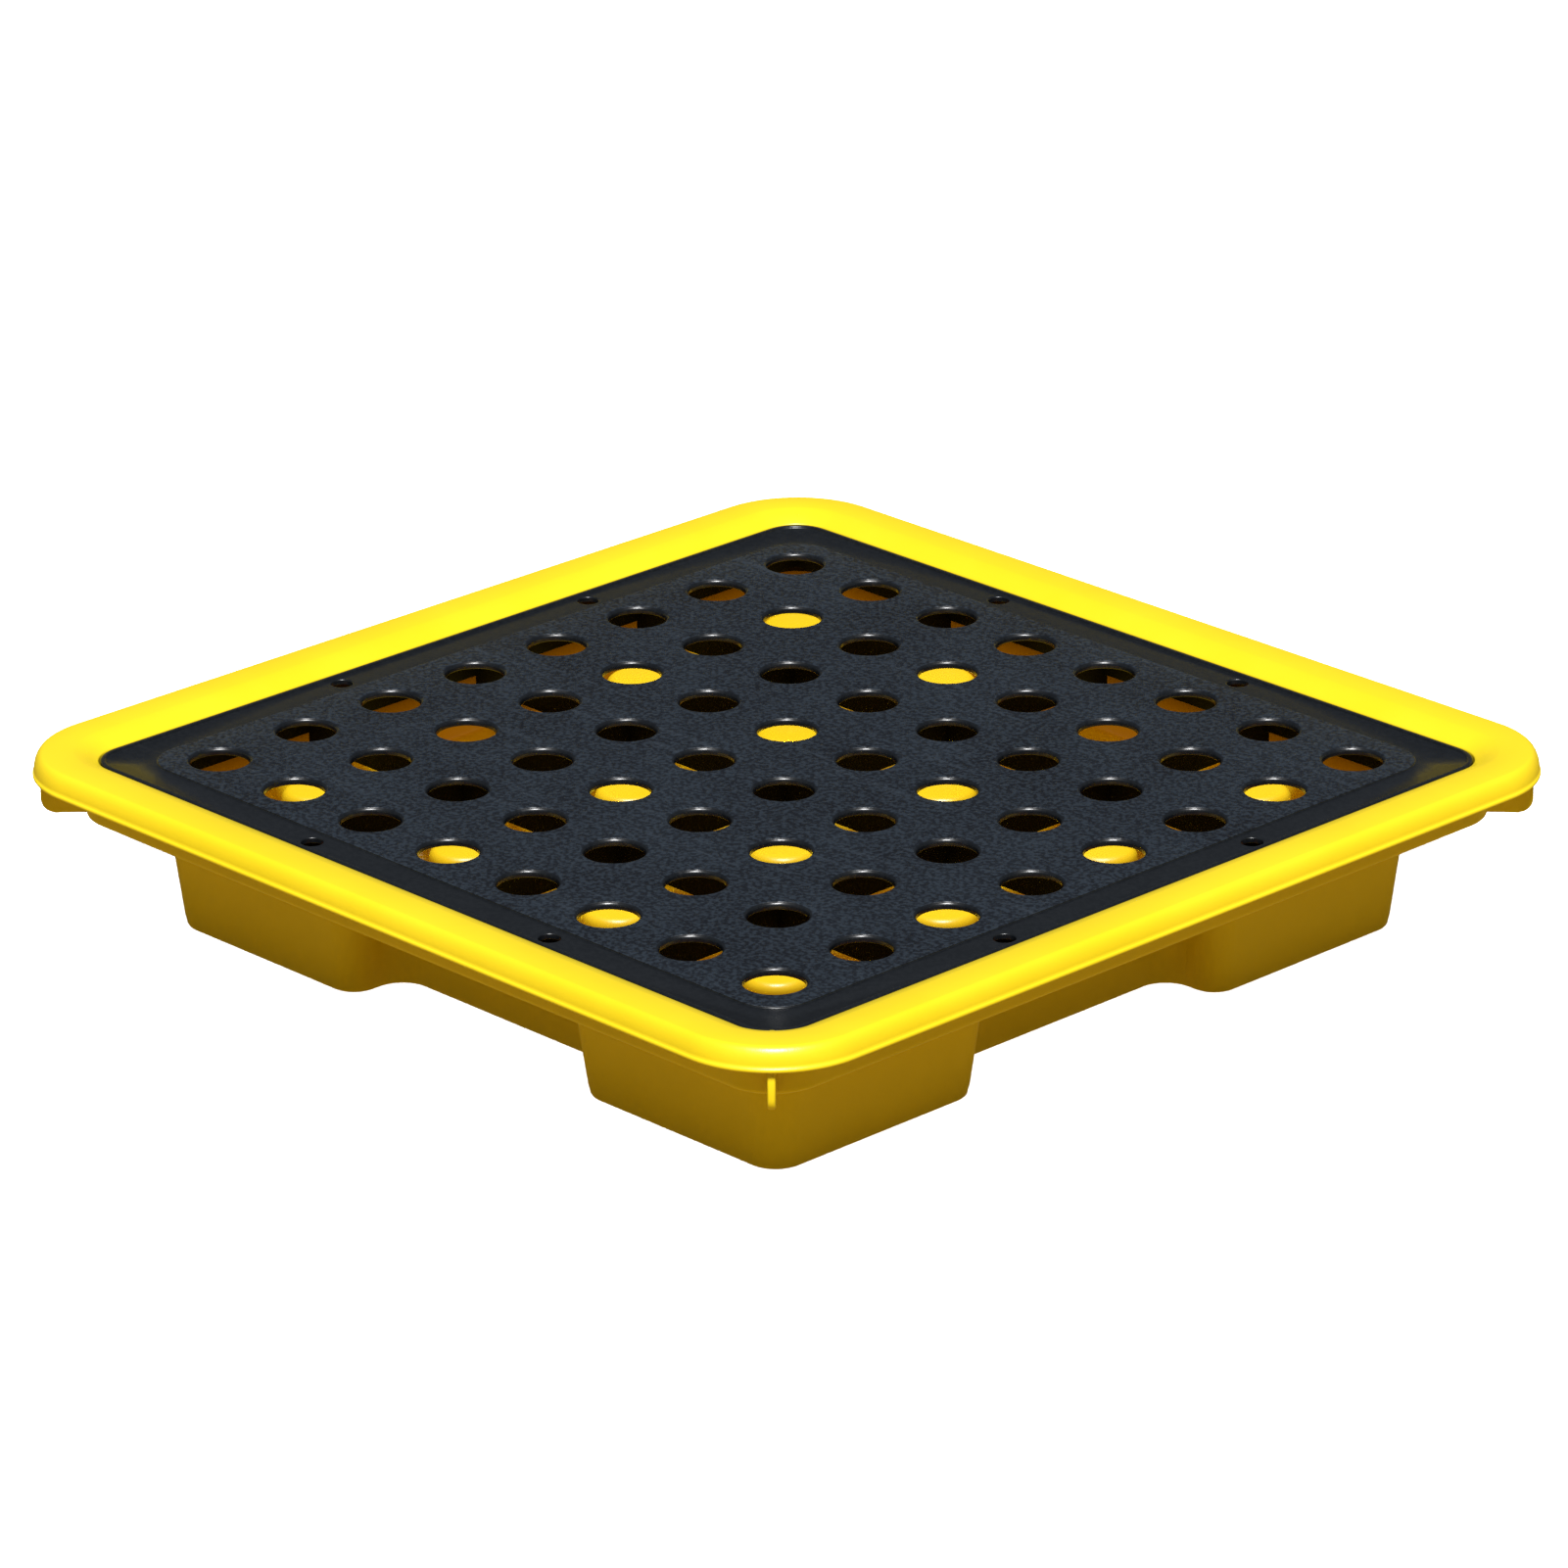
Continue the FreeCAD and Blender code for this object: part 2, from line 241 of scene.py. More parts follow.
# ---------------------------------------------------------------- mesh building
class Shell:
    """Collects loops of vertices and the faces between them, and makes the object."""

    def __init__(self, bm=None):
        self.bm = bmesh.new() if bm is None else bm

    def loop(self, plan, z):
        """Vertices of a plan outline at height z, both in millimetres."""
        return [self.bm.verts.new((x * MM, y * MM, z * MM)) for x, y in plan]

    def bridge(self, lower, upper):
        """Quads between two loops with the same number of points."""
        count = len(lower)
        for i in range(count):
            j = (i + 1) % count
            self.bm.faces.new((lower[i], lower[j], upper[j], upper[i]))

    def stack(self, loops):
        """Quads from each loop to the next."""
        for lower, upper in zip(loops, loops[1:]):
            self.bridge(lower, upper)

    def fill(self, outer, holes=(), up=True):
        """Flat face inside the outer loop, open at the holes."""
        rings = [outer, *holes]
        verts = [v for ring in rings for v in ring]
        ring_of = [number for number, ring in enumerate(rings) for _ in ring]
        edges = []
        start = 0
        for ring in rings:
            count = len(ring)
            edges += [(start + i, start + (i + 1) % count) for i in range(count)]
            start += count
        flat = [Vector((v.co.x, v.co.y)) / MM for v in verts]
        points, _, triangles, source, _, _ = delaunay_2d_cdt(flat, edges, [], 0, SAME_POINT)
        outline = flat[:len(outer)]
        for tri in triangles:
            corners = [source[i][0] for i in tri]
            touched = {ring_of[i] for i in corners}
            if len(touched) == 1:    # all on one ring: inside a hole, or perhaps outside the outline
                middle = sum((points[i] for i in tri), Vector((0, 0))) / 3
                if touched != {0} or not inside(middle, outline):
                    continue
            face = [verts[i] for i in corners]
            self.bm.faces.new(face if up else face[::-1])

    def finish(self, name, material, body, nodes, sharp_degrees=None):
        """Weld, smooth and name the mesh, hang it on its body, and hide the imported nodes it stands for."""
        bmesh.ops.remove_doubles(self.bm, verts=self.bm.verts, dist=WELD * MM)
        bmesh.ops.recalc_face_normals(self.bm, faces=self.bm.faces)
        mesh = bpy.data.meshes.new(name)
        self.bm.to_mesh(mesh)
        self.bm.free()
        mesh.polygons.foreach_set("use_smooth", [True] * len(mesh.polygons))
        if sharp_degrees:
            mesh.set_sharp_from_angle(angle=math.radians(sharp_degrees))
        obj = bpy.data.objects.new(name, mesh)
        bpy.context.scene.collection.objects.link(obj)
        obj.data.materials.append(material)
        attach(obj, body)
        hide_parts(*nodes)
        return obj


def inside(point, outline):
    """True where a plan point lies inside an outline (even-odd rule)."""
    x, y = point
    odd = False
    j = len(outline) - 1
    for i in range(len(outline)):
        xi, yi = outline[i]
        xj, yj = outline[j]
        if (yi > y) != (yj > y) and x < (xj - xi) * (y - yi) / (yj - yi) + xi:
            odd = not odd
        j = i
    return odd


def round_over(radius, start_deg, sweep_deg, steps=ROUND_STEPS):
    """(along, up) offsets on a fillet's arc about its own centre."""
    points = []
    for i in range(steps + 1):
        a = math.radians(start_deg + sweep_deg * i / steps)
        points.append((radius * math.cos(a), radius * math.sin(a)))
    return points


# ---------------------------------------------------------------- sump tray
def rim_roll(half, top, bottom):
    """(half-width, height) down a quarter ellipse, from the crown's end at top out to half at bottom."""
    points = []
    for i in range(ROLL_STEPS + 1):
        a = math.pi / 2 * i / ROLL_STEPS
        points.append((lerp((CROWN_END, half), math.sin(a)), lerp((bottom, top), math.cos(a))))
    return points


def rim_profile():
    """(half-width, height) up the inner wall, over the rim and back under it to the box wall."""
    profile = [(RIM_IN, SHELF_TOP + FLOOR_R)]
    for along, up in round_over(RIM_EDGE_R, 180, -RIM_EDGE_SWEEP):
        profile.append((RIM_IN + RIM_EDGE_R + along, RIM_INNER_EDGE - RIM_EDGE_R + up))
    start = profile[-1]
    for i in range(1, ROLL_STEPS + 1):
        t = i / ROLL_STEPS
        bulge = CROWN_RISE * math.sin(math.pi * t)
        profile.append((lerp((start[0], CROWN_START), t), lerp((start[1], HEIGHT), t) + bulge))
    bead = (RIM_OUT - LIP_BEAD_R, RIM_LIP_Z + LIP_BEAD_R)
    profile += rim_roll(RIM_OUT - BEAD_STAND, HEIGHT, bead[1] + LIP_BEAD_R * BEAD_NECK)
    for along, up in round_over(LIP_BEAD_R, BEAD_START, -180 - BEAD_START, ROLL_STEPS):
        profile.append((bead[0] + along, bead[1] + up))
    profile += rim_roll(RIM_OUT - LIP_WIDTH, HEIGHT - RIM_SKIN, bead[1] + LIP_BEAD_R)[::-1]
    for along, up in round_over(SEAT_R, 90, 90):
        profile.append((BOX_OUT + SEAT_R + along, HEIGHT - RIM_SKIN - SEAT_R + up))
    return profile


def sump_tray(material):
    """Rim, box wall, shelf, lower body and floor as one skin."""
    shell = Shell()
    loops = [shell.loop(ring_loop(half), z) for half, z in rim_profile()]
    for along, up in round_over(SHELF_EDGE_R, 0, -90):
        half = BOX_OUT - SHELF_EDGE_R + along
        loops.append(shell.loop(ring_loop(half), SHELF_BOTTOM + SHELF_EDGE_R + up))
    for along, up in round_over(BODY_TOP_R, 90, 90):
        loops.append(shell.loop(body_loop(-BODY_TOP_R - along, 1.0), SHELF_BOTTOM - BODY_TOP_R + up))
    heights = [SHELF_BOTTOM * (1 - i / (SMALL_STEPS + 1)) for i in range(1, SMALL_STEPS + 1)]
    for z in heights:
        loops.append(shell.loop(body_loop(0.0, z / SHELF_BOTTOM), z))
    for along, up in round_over(FOOT_EDGE_R, 0, -90):
        loops.append(shell.loop(body_loop(FOOT_EDGE_R - along, 0.0), FOOT_EDGE_R + up))
    shell.stack(loops)
    ground = loops[-1]
    # the inside, from the foot of the box's inner wall down to the floor
    inner = [loops[0]]
    for along, up in round_over(FLOOR_R, 0, -90):
        inner.append(shell.loop(ring_loop(RIM_IN - FLOOR_R + along), SHELF_TOP + FLOOR_R + up))
    for along, up in round_over(SHELF_LIP_R, 90, 90):
        inner.append(shell.loop(body_loop(WALL - SHELF_LIP_R - along, 1.0), SHELF_TOP - SHELF_LIP_R + up))
    for z in [SHELF_BOTTOM] + heights:
        if z > WALL + FLOOR_R:
            inner.append(shell.loop(body_loop(WALL, z / SHELF_BOTTOM), z))
    for along, up in round_over(FLOOR_R, 0, -90):
        inner.append(shell.loop(body_loop(WALL + FLOOR_R - along, 0.0), WALL + FLOOR_R + up))
    shell.stack(inner)
    hollows_low = []
    hollows_high = []
    for spot in pillar_spots():
        low = shell.loop(hollow_outline(spot, 0.0), 0.0)
        high = shell.loop(hollow_outline(spot, WALL), WALL)
        shell.bridge(low, high)
        hollows_low.append(low)
        hollows_high.append(high)
    shell.fill(ground, hollows_low, up=False)
    shell.fill(inner[-1], hollows_high)
    nodes = ["sump_floor", "sump_wall", "deck_ledge", "rim_flange"]
    shell.finish("sump_tray", material, "tray", nodes)


def pillar_spots():
    """Plan positions of the pillars."""
    return [(column * PILLAR_STEP, row * PILLAR_STEP)
            for column in PILLAR_PLACES for row in PILLAR_PLACES
            if (column, row) not in PILLARS_LEFT_OUT]


def held_in(point, limit):
    """A plan point moved inside a square of half-width limit."""
    return tuple(max(-limit, min(limit, value)) for value in point)


def meets_wall(spot):
    """True for the pillars that run into a set-back wall: the outer ones that aren't in a corner."""
    return abs(spot[0]) != abs(spot[1])


def hollow_outline(spot, z):
    """Plan of a pillar's hollow at a height, kept inside the wall where the pillar meets it."""
    radius = lerp(PILLAR_R, z / PILLAR_TOP) - WALL
    plan = circle(spot, radius)
    if meets_wall(spot):
        limit = RECESS_HALF[0] - WALL - 2 * FLOOR_R
        plan = [held_in(p, limit) for p in plan]
    return plan


def pillar(index, spot, material):
    """Hollow tapered pillar with a rounded top and a flared foot."""
    shell = Shell()
    profile = []
    for along, up in round_over(FLOOR_R, 270, -90):
        profile.append((lerp(PILLAR_R, (WALL + FLOOR_R) / PILLAR_TOP) + FLOOR_R + along, WALL + FLOOR_R + up))
    side_top = PILLAR_TOP - PILLAR_EDGE_R
    for i in range(1, SMALL_STEPS + 1):
        z = lerp((WALL + FLOOR_R, side_top), i / SMALL_STEPS)
        profile.append((lerp(PILLAR_R, z / PILLAR_TOP), z))
    top_radius = lerp(PILLAR_R, side_top / PILLAR_TOP)
    for along, up in round_over(PILLAR_EDGE_R, 0, 90)[1:]:
        profile.append((top_radius - PILLAR_EDGE_R + along, side_top + up))
    loops = []
    for radius, z in profile:
        wall = lerp(RECESS_HALF, min(z / SHELF_BOTTOM, 1.0)) - WALL / 2
        plan = circle(spot, radius)
        if meets_wall(spot) and z < SHELF_BOTTOM:
            plan = [held_in(p, wall) for p in plan]
        loops.append(shell.loop(plan, z))
    shell.stack(loops)
    shell.fill(loops[-1])
    inner = [shell.loop(hollow_outline(spot, z), z) for z in PILLAR_HOLLOW_HEIGHTS]
    shell.stack(inner[::-1])
    shell.fill(inner[-1], up=False)
    shell.bridge(loops[0], inner[0])
    return shell.finish(f"pillar_{index}", material, "tray", [f"support_pillar_{index}"])


def gusset_outline():
    """(distance from the middle, height) round a fin that stands on the diagonal."""
    corner = CORNER_CENTRE * math.sqrt(2)
    inner = corner + BOX_OUT - CORNER_CENTRE - GUSSET_ROOT
    outline = [(inner, GUSSET_BOTTOM)]
    for along, up in round_over(GUSSET_EDGE_R, 270, 90, SMALL_STEPS):
        outline.append((GUSSET_REACH - GUSSET_EDGE_R + along, GUSSET_BOTTOM + GUSSET_EDGE_R + up))
    # the top follows the underside of the rim's roll
    drop = HEIGHT - RIM_SKIN - RIM_LIP_Z
    for i in range(GUSSET_STEPS + 1):
        d = lerp((GUSSET_REACH, inner), i / GUSSET_STEPS)
        across = (d - (corner - CORNER_CENTRE) - CROWN_END) / (RIM_OUT - LIP_WIDTH - CROWN_END)
        under = RIM_LIP_Z + drop * math.sqrt(1 - max(across, 0.0) ** 2)
        outline.append((d, under + GUSSET_SEAT))
    return outline


def round_edges(bm, edges, radius, steps):
    """Soften some edges of a mesh."""
    bmesh.ops.bevel(bm, geom=edges, offset=radius * MM, segments=steps, profile=0.5, affect="EDGES")


def gusset(quarter_turns, material):
    """Thin fin with rounded edges under a corner of the rim."""
    outline = gusset_outline()
    bm = bmesh.new()
    half = GUSSET_T / 2
    front = [bm.verts.new((d * MM, -half * MM, z * MM)) for d, z in outline]
    back = [bm.verts.new((d * MM, half * MM, z * MM)) for d, z in outline]
    bm.faces.new(front)
    bm.faces.new(back[::-1])
    count = len(outline)
    for i in range(count):
        j = (i + 1) % count
        bm.faces.new((front[j], front[i], back[i], back[j]))
    face_edges = [e for e in bm.edges if e.verts[0].co.y == e.verts[1].co.y]
    round_edges(bm, face_edges, GUSSET_ROUND, BEVEL_STEPS)
    turn = Matrix.Rotation(math.radians(45 + 90 * quarter_turns), 4, "Z")
    bmesh.ops.transform(bm, matrix=turn, verts=bm.verts)
    number = quarter_turns + 1
    Shell(bm).finish(f"gusset_{number}", material, "tray", [f"corner_gusset_{number}"], SHARP_DEGREES)


# ---------------------------------------------------------------- deck
def hole_spots():
    """Plan positions of the load holes."""
    first = -(HOLES_PER_SIDE - 1) / 2 * PITCH
    line = [first + i * PITCH for i in range(HOLES_PER_SIDE)]
    return [(x, y) for x in line for y in line]


def drain_spots():
    """Plan positions of the drain holes, two on each side."""
    pair = [(DRAIN_FROM_MIDDLE, -DRAIN_ALONG), (DRAIN_FROM_MIDDLE, DRAIN_ALONG)]
    return [quarter(spot, turns) for turns in range(4) for spot in pair]


def punched(shell, spot, radius, edge_r, top, land, low_r, steps=HOLE_STEPS):
    """One rounded hole through the plate. Gives its outermost loops at the top and at the underside."""
    loops = [shell.loop(circle(spot, radius + edge_r + land, steps), top)]
    for along, up in round_over(edge_r, 90, 90):
        loops.append(shell.loop(circle(spot, radius + edge_r + along, steps), top - edge_r + up))
    for along, up in round_over(low_r, 180, 90, FINE_STEPS):
        loops.append(shell.loop(circle(spot, radius + low_r + along, steps), PLATE_BOTTOM + low_r + up))
    loops.append(shell.loop(circle(spot, radius + low_r + land, steps), PLATE_BOTTOM))
    shell.stack(loops)
    return loops[0], loops[-1]


def plateau_step(shell):
    """Loops from the plateau's edge down to the border band."""
    step = DECK_TOP - BAND_TOP
    middle = DECK_TOP - step / 2
    loops = [shell.loop(square_loop(PLATEAU_HALF - step - STEP_LAND, PLATEAU_R), DECK_TOP)]
    for along, up in round_over(step / 2, 90, -90, FINE_STEPS):
        loops.append(shell.loop(square_loop(PLATEAU_HALF - step + along, PLATEAU_R), middle + up))
    for along, up in round_over(step / 2, 180, 90, FINE_STEPS)[1:]:
        loops.append(shell.loop(square_loop(PLATEAU_HALF + along, PLATEAU_R), middle + up))
    loops.append(shell.loop(square_loop(PLATEAU_HALF + STEP_LAND, PLATEAU_R), BAND_TOP))
    shell.stack(loops)
    return loops


def deck_edge(shell):
    """Loops from the band over the edge lip, down the skirt and back up inside it."""
    corner = DECK_HALF - CORNER_CENTRE
    lip_inner = DECK_HALF - EDGE_LIP_T
    loops = [shell.loop(square_loop(lip_inner - LIP_LAND, corner - EDGE_LIP_T), BAND_TOP)]
    for along, up in round_over(EDGE_LIP_R, 180, -90):
        half = lip_inner + EDGE_LIP_R + along
        loops.append(shell.loop(square_loop(half, half - CORNER_CENTRE), EDGE_LIP_TOP - EDGE_LIP_R + up))
    for along, up in round_over(EDGE_LIP_R, 90, -90):
        half = DECK_HALF - EDGE_LIP_R + along
        loops.append(shell.loop(square_loop(half, half - CORNER_CENTRE), EDGE_LIP_TOP - EDGE_LIP_R + up))
    foot = SHELF_TOP + SKIRT_EDGE_R
    for along, up in round_over(SKIRT_EDGE_R, 0, -90, FINE_STEPS):
        loops.append(shell.loop(square_loop(DECK_HALF - SKIRT_EDGE_R + along, corner), foot + up))
    inner = DECK_HALF - SKIRT_T
    for along, up in round_over(SKIRT_EDGE_R, 270, -90, FINE_STEPS):
        loops.append(shell.loop(square_loop(inner + SKIRT_EDGE_R + along, corner - SKIRT_T), foot + up))
    loops.append(shell.loop(square_loop(inner, corner - SKIRT_T), PLATE_BOTTOM))
    shell.stack(loops)
    return loops


def deck_moulding(material):
    """Plate with its plateau, border band, holes and skirt."""
    shell = Shell()
    holes = [punched(shell, spot, HOLE_R, HOLE_EDGE_R, DECK_TOP, HOLE_LAND, HOLE_LOW_R)
             for spot in hole_spots()]
    drains = [punched(shell, spot, DRAIN_R, DRAIN_EDGE_R, BAND_TOP, DRAIN_LAND, DRAIN_LOW_R, DRAIN_STEPS)
              for spot in drain_spots()]
    plateau = plateau_step(shell)
    shell.fill(plateau[0], [top for top, _ in holes])
    edge = deck_edge(shell)
    shell.fill(edge[0], [plateau[-1], *[top for top, _ in drains]])
    shell.fill(edge[-1], [low for _, low in holes + drains], up=False)
    shell.finish("deck_moulding", material, "deck", ["deck_plate", "deck_skirt"])


def deck_ribs(material):
    """Grid of ribs under the deck, with softened lower edges."""
    bm = bmesh.new()
    reach = RIB_STEP * RIBS_FROM_MIDDLE + RIB_T / 2
    for along_x in (True, False):
        for line in range(-RIBS_FROM_MIDDLE, RIBS_FROM_MIDDLE + 1):
            bottom = EDGE_RIB_BOTTOM if abs(line) == RIBS_FROM_MIDDLE else RIB_BOTTOM
            size = (2 * reach, RIB_T) if along_x else (RIB_T, 2 * reach)
            centre = (0.0, line * RIB_STEP) if along_x else (line * RIB_STEP, 0.0)
            place = Matrix.Translation(Vector((*centre, (bottom + PLATE_BOTTOM) / 2)) * MM)
            scale = Matrix.Diagonal((size[0] * MM, size[1] * MM, (PLATE_BOTTOM - bottom) * MM, 1.0))
            made = bmesh.ops.create_cube(bm, size=1.0, matrix=place @ scale)["verts"]
            lower = {v for v in made if v.co.z < (bottom + RIB_EDGE_R) * MM}
            edges = [e for e in bm.edges if e.verts[0] in lower and e.verts[1] in lower]
            round_edges(bm, edges, RIB_EDGE_R, FINE_STEPS)
    nodes = [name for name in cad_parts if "_rib_" in name]
    Shell(bm).finish("deck_ribs", material, "deck", nodes, SHARP_DEGREES)


# ---------------------------------------------------------------- materials
# Colours are linear, each pair from its darkest to its palest.
# A noise scale is about how many features there are to a metre.
YELLOW = ((0.735, 0.548, 0.009), (0.775, 0.574, 0.012))
YELLOW_ROUGHNESS = (0.30, 0.38)
YELLOW_CLOUD_SCALE = 9.0
PEEL_SCALE = 160.0
FINE_PEEL_SCALE = 900.0

PLATEAU_BLACK = ((0.0004, 0.0011, 0.0034), (0.0160, 0.0230, 0.0325))
SMOOTH_BLACK = ((0.0035, 0.0045, 0.0060), (0.0065, 0.0078, 0.0096))
DECK_ROUGHNESS = (0.30, 0.46)    # smooth band, grained plateau
DECK_CLOUD_SCALE = 14.0
SPECKLE_SCALE = 300.0
CLOUD_SHARE = 0.25               # of the way from a pair's first colour to its second
SPECKLE_SHARE = 0.75
SCUFF_SHARE = 0.30
SCUFF_ROUGHNESS = 0.12
SMOOTH_GRAIN = 0.15              # how much of the plateau's grain the smooth faces have
MASK_FADE = (0.5, 0.1)           # millimetres under the plateau's top where the grain fades in

RIB_BLACK = ((0.0030, 0.0034, 0.0040), (0.0050, 0.0056, 0.0064))
RIB_ROUGHNESS = (0.65, 0.75)
RIB_SPECULAR = 0.1
RIB_CLOUD_SCALE = 30.0
RIB_GRAIN_SCALE = 400.0


def new_material(name):
    """An empty material: (material, its nodes, its links, its shader)."""
    material = bpy.data.materials.new(name)
    material.use_nodes = True
    nodes = material.node_tree.nodes
    return material, nodes, material.node_tree.links, nodes["Principled BSDF"]


def object_place(nodes):
    """Position on the object, for textures."""
    return nodes.new("ShaderNodeTexCoord").outputs["Object"]


def noise(nodes, links, place, scale, detail=2.0, roughness=0.5):
    """Soft random pattern, mostly between 0.3 and 0.7."""
    node = nodes.new("ShaderNodeTexNoise")
    node.inputs["Scale"].default_value = scale
    node.inputs["Detail"].default_value = detail
    node.inputs["Roughness"].default_value = roughness
    links.new(place, node.inputs["Vector"])
    return node.outputs["Fac"]


def ramp(nodes, links, source, low, high, from_value, to_value):
    """from_value where source is below low, to_value where it is above high."""
    node = nodes.new("ShaderNodeMapRange")
    node.inputs["From Min"].default_value = low
    node.inputs["From Max"].default_value = high
    node.inputs["To Min"].default_value = from_value
    node.inputs["To Max"].default_value = to_value
    links.new(source, node.inputs["Value"])
    return node.outputs["Result"]


def between(nodes, links, source, low, high):
    """0 where source is below low, 1 where it is above high."""
    return ramp(nodes, links, source, low, high, 0.0, 1.0)


def mix_colour(nodes, links, factor, first, second):
    """Colour between two fixed colours."""
    node = nodes.new("ShaderNodeMix")
    node.data_type = "RGBA"
    node.inputs["A"].default_value = (*first, 1.0)
    node.inputs["B"].default_value = (*second, 1.0)
    links.new(factor, node.inputs["Factor"])
    return node.outputs["Result"]


def bump(nodes, links, height, strength, distance, normal=None):
    """Fine relief, on top of another relief where normal is given."""
    node = nodes.new("ShaderNodeBump")
    node.inputs["Strength"].default_value = strength
    node.inputs["Distance"].default_value = distance
    links.new(height, node.inputs["Height"])
    if normal:
        links.new(normal, node.inputs["Normal"])
    return node.outputs["Normal"]


def join(nodes, links, operation, first, second):
    """Arithmetic on two values, each a fixed number or a socket."""
    node = nodes.new("ShaderNodeMath")
    node.operation = operation
    for socket, value in zip(node.inputs, (first, second)):
        if isinstance(value, float):
            socket.default_value = value
        else:
            links.new(value, socket)
    return node.outputs["Value"]


def streaks(nodes, links, place, turn, scale, stretch, low, high):
    """Faint thin scratches: noise drawn out along one direction in plan."""
    mapping = nodes.new("ShaderNodeMapping")
    mapping.inputs["Rotation"].default_value = (0.0, 0.0, math.radians(turn))
    mapping.inputs["Scale"].default_value = (1.0, stretch, 1.0)
    links.new(place, mapping.inputs["Vector"])
    drawn_out = noise(nodes, links, mapping.outputs["Vector"], scale, detail=3.0)
    return between(nodes, links, drawn_out, low, high)


def yellow_plastic():
    """Satin moulded polyethylene: nearly even, with a soft orange-peel surface."""
    material, nodes, links, shader = new_material("tray_yellow")
    place = object_place(nodes)
    cloud = noise(nodes, links, place, YELLOW_CLOUD_SCALE, detail=3.0)
    factor = between(nodes, links, cloud, low=0.35, high=0.65)
    links.new(mix_colour(nodes, links, factor, *YELLOW), shader.inputs["Base Color"])
    links.new(ramp(nodes, links, cloud, 0.3, 0.7, *YELLOW_ROUGHNESS), shader.inputs["Roughness"])
    peel = noise(nodes, links, place, PEEL_SCALE)
    soft = bump(nodes, links, peel, strength=0.15, distance=0.0006)
    fine = noise(nodes, links, place, FINE_PEEL_SCALE)
    normal = bump(nodes, links, fine, strength=0.25, distance=0.0002, normal=soft)
    links.new(normal, shader.inputs["Normal"])
    return material


def plateau_mask(nodes, links, place):
    """1 on the raised grained plateau, 0 on the smooth border band, the edge lip and the hole walls."""
    split = nodes.new("ShaderNodeSeparateXYZ")
    links.new(place, split.inputs["Vector"])
    fade = [(DECK_TOP - depth) * MM for depth in MASK_FADE]
    raised = between(nodes, links, split.outputs["Z"], *fade)
    sides = [join(nodes, links, "ABSOLUTE", split.outputs[axis], 0.0) for axis in ("X", "Y")]
    reach = join(nodes, links, "MAXIMUM", *sides)
    limit = (PLATEAU_HALF + DECK_HALF) / 2 * MM
    within = join(nodes, links, "LESS_THAN", reach, limit)
    return join(nodes, links, "MULTIPLY", raised, within)


def black_plastic():
    """Blue-black moulded plastic: a fine speckled grain on the plateau, smoother and darker elsewhere."""
    material, nodes, links, shader = new_material("deck_black")
    place = object_place(nodes)
    grained = plateau_mask(nodes, links, place)
    cloud = between(nodes, links, noise(nodes, links, place, DECK_CLOUD_SCALE, detail=4.0), 0.3, 0.7)
    speckle = noise(nodes, links, place, SPECKLE_SCALE, roughness=0.6)
    shade = join(nodes, links, "MULTIPLY", cloud, CLOUD_SHARE)
    dots = join(nodes, links, "MULTIPLY", between(nodes, links, speckle, 0.42, 0.60), SPECKLE_SHARE)
    scuffs = join(nodes, links, "MAXIMUM",
                  streaks(nodes, links, place, turn=20.0, scale=6.0, stretch=22.0, low=0.62, high=0.74),
                  streaks(nodes, links, place, turn=-65.0, scale=5.0, stretch=26.0, low=0.64, high=0.76))
    marks = join(nodes, links, "ADD", dots, join(nodes, links, "MULTIPLY", scuffs, SCUFF_SHARE))
    factor = join(nodes, links, "ADD", shade, marks)
    colour = nodes.new("ShaderNodeMix")
    colour.data_type = "RGBA"
    links.new(grained, colour.inputs["Factor"])
    links.new(mix_colour(nodes, links, factor, *SMOOTH_BLACK), colour.inputs["A"])
    links.new(mix_colour(nodes, links, factor, *PLATEAU_BLACK), colour.inputs["B"])
    links.new(colour.outputs["Result"], shader.inputs["Base Color"])
    rough = join(nodes, links, "ADD", ramp(nodes, links, grained, 0.0, 1.0, *DECK_ROUGHNESS),
                 join(nodes, links, "MULTIPLY", scuffs, SCUFF_ROUGHNESS))
    links.new(rough, shader.inputs["Roughness"])
    grain = ramp(nodes, links, grained, 0.0, 1.0, SMOOTH_GRAIN, 1.0)
    height = join(nodes, links, "MULTIPLY", speckle, grain)
    links.new(bump(nodes, links, height, strength=0.6, distance=0.0010), shader.inputs["Normal"])
    return material


def rib_plastic():
    """The ribs' plastic: the same black, dull and rough from the mould."""
    material, nodes, links, shader = new_material("rib_black")
    place = object_place(nodes)
    cloud = noise(nodes, links, place, RIB_CLOUD_SCALE, detail=3.0)
    factor = between(nodes, links, cloud, low=0.3, high=0.7)
    links.new(mix_colour(nodes, links, factor, *RIB_BLACK), shader.inputs["Base Color"])
    links.new(ramp(nodes, links, cloud, 0.3, 0.7, *RIB_ROUGHNESS), shader.inputs["Roughness"])
    grain = noise(nodes, links, place, RIB_GRAIN_SCALE)
    links.new(bump(nodes, links, grain, strength=0.4, distance=0.0006), shader.inputs["Normal"])
    shader.inputs["Specular IOR Level"].default_value = RIB_SPECULAR
    return material


# ---------------------------------------------------------------- stage
CAMERA_AZIMUTH = -43.81
CAMERA_ELEVATION = 21.69
CAMERA_ROLL = 0.45
CAMERA_DISTANCE = 5.861
CAMERA_TARGET = (0.0039, -0.0054, 0.1095)
CAMERA_LENS = 190.2          # millimetres, on a sensor of the width below
CAMERA_SENSOR = 36.0

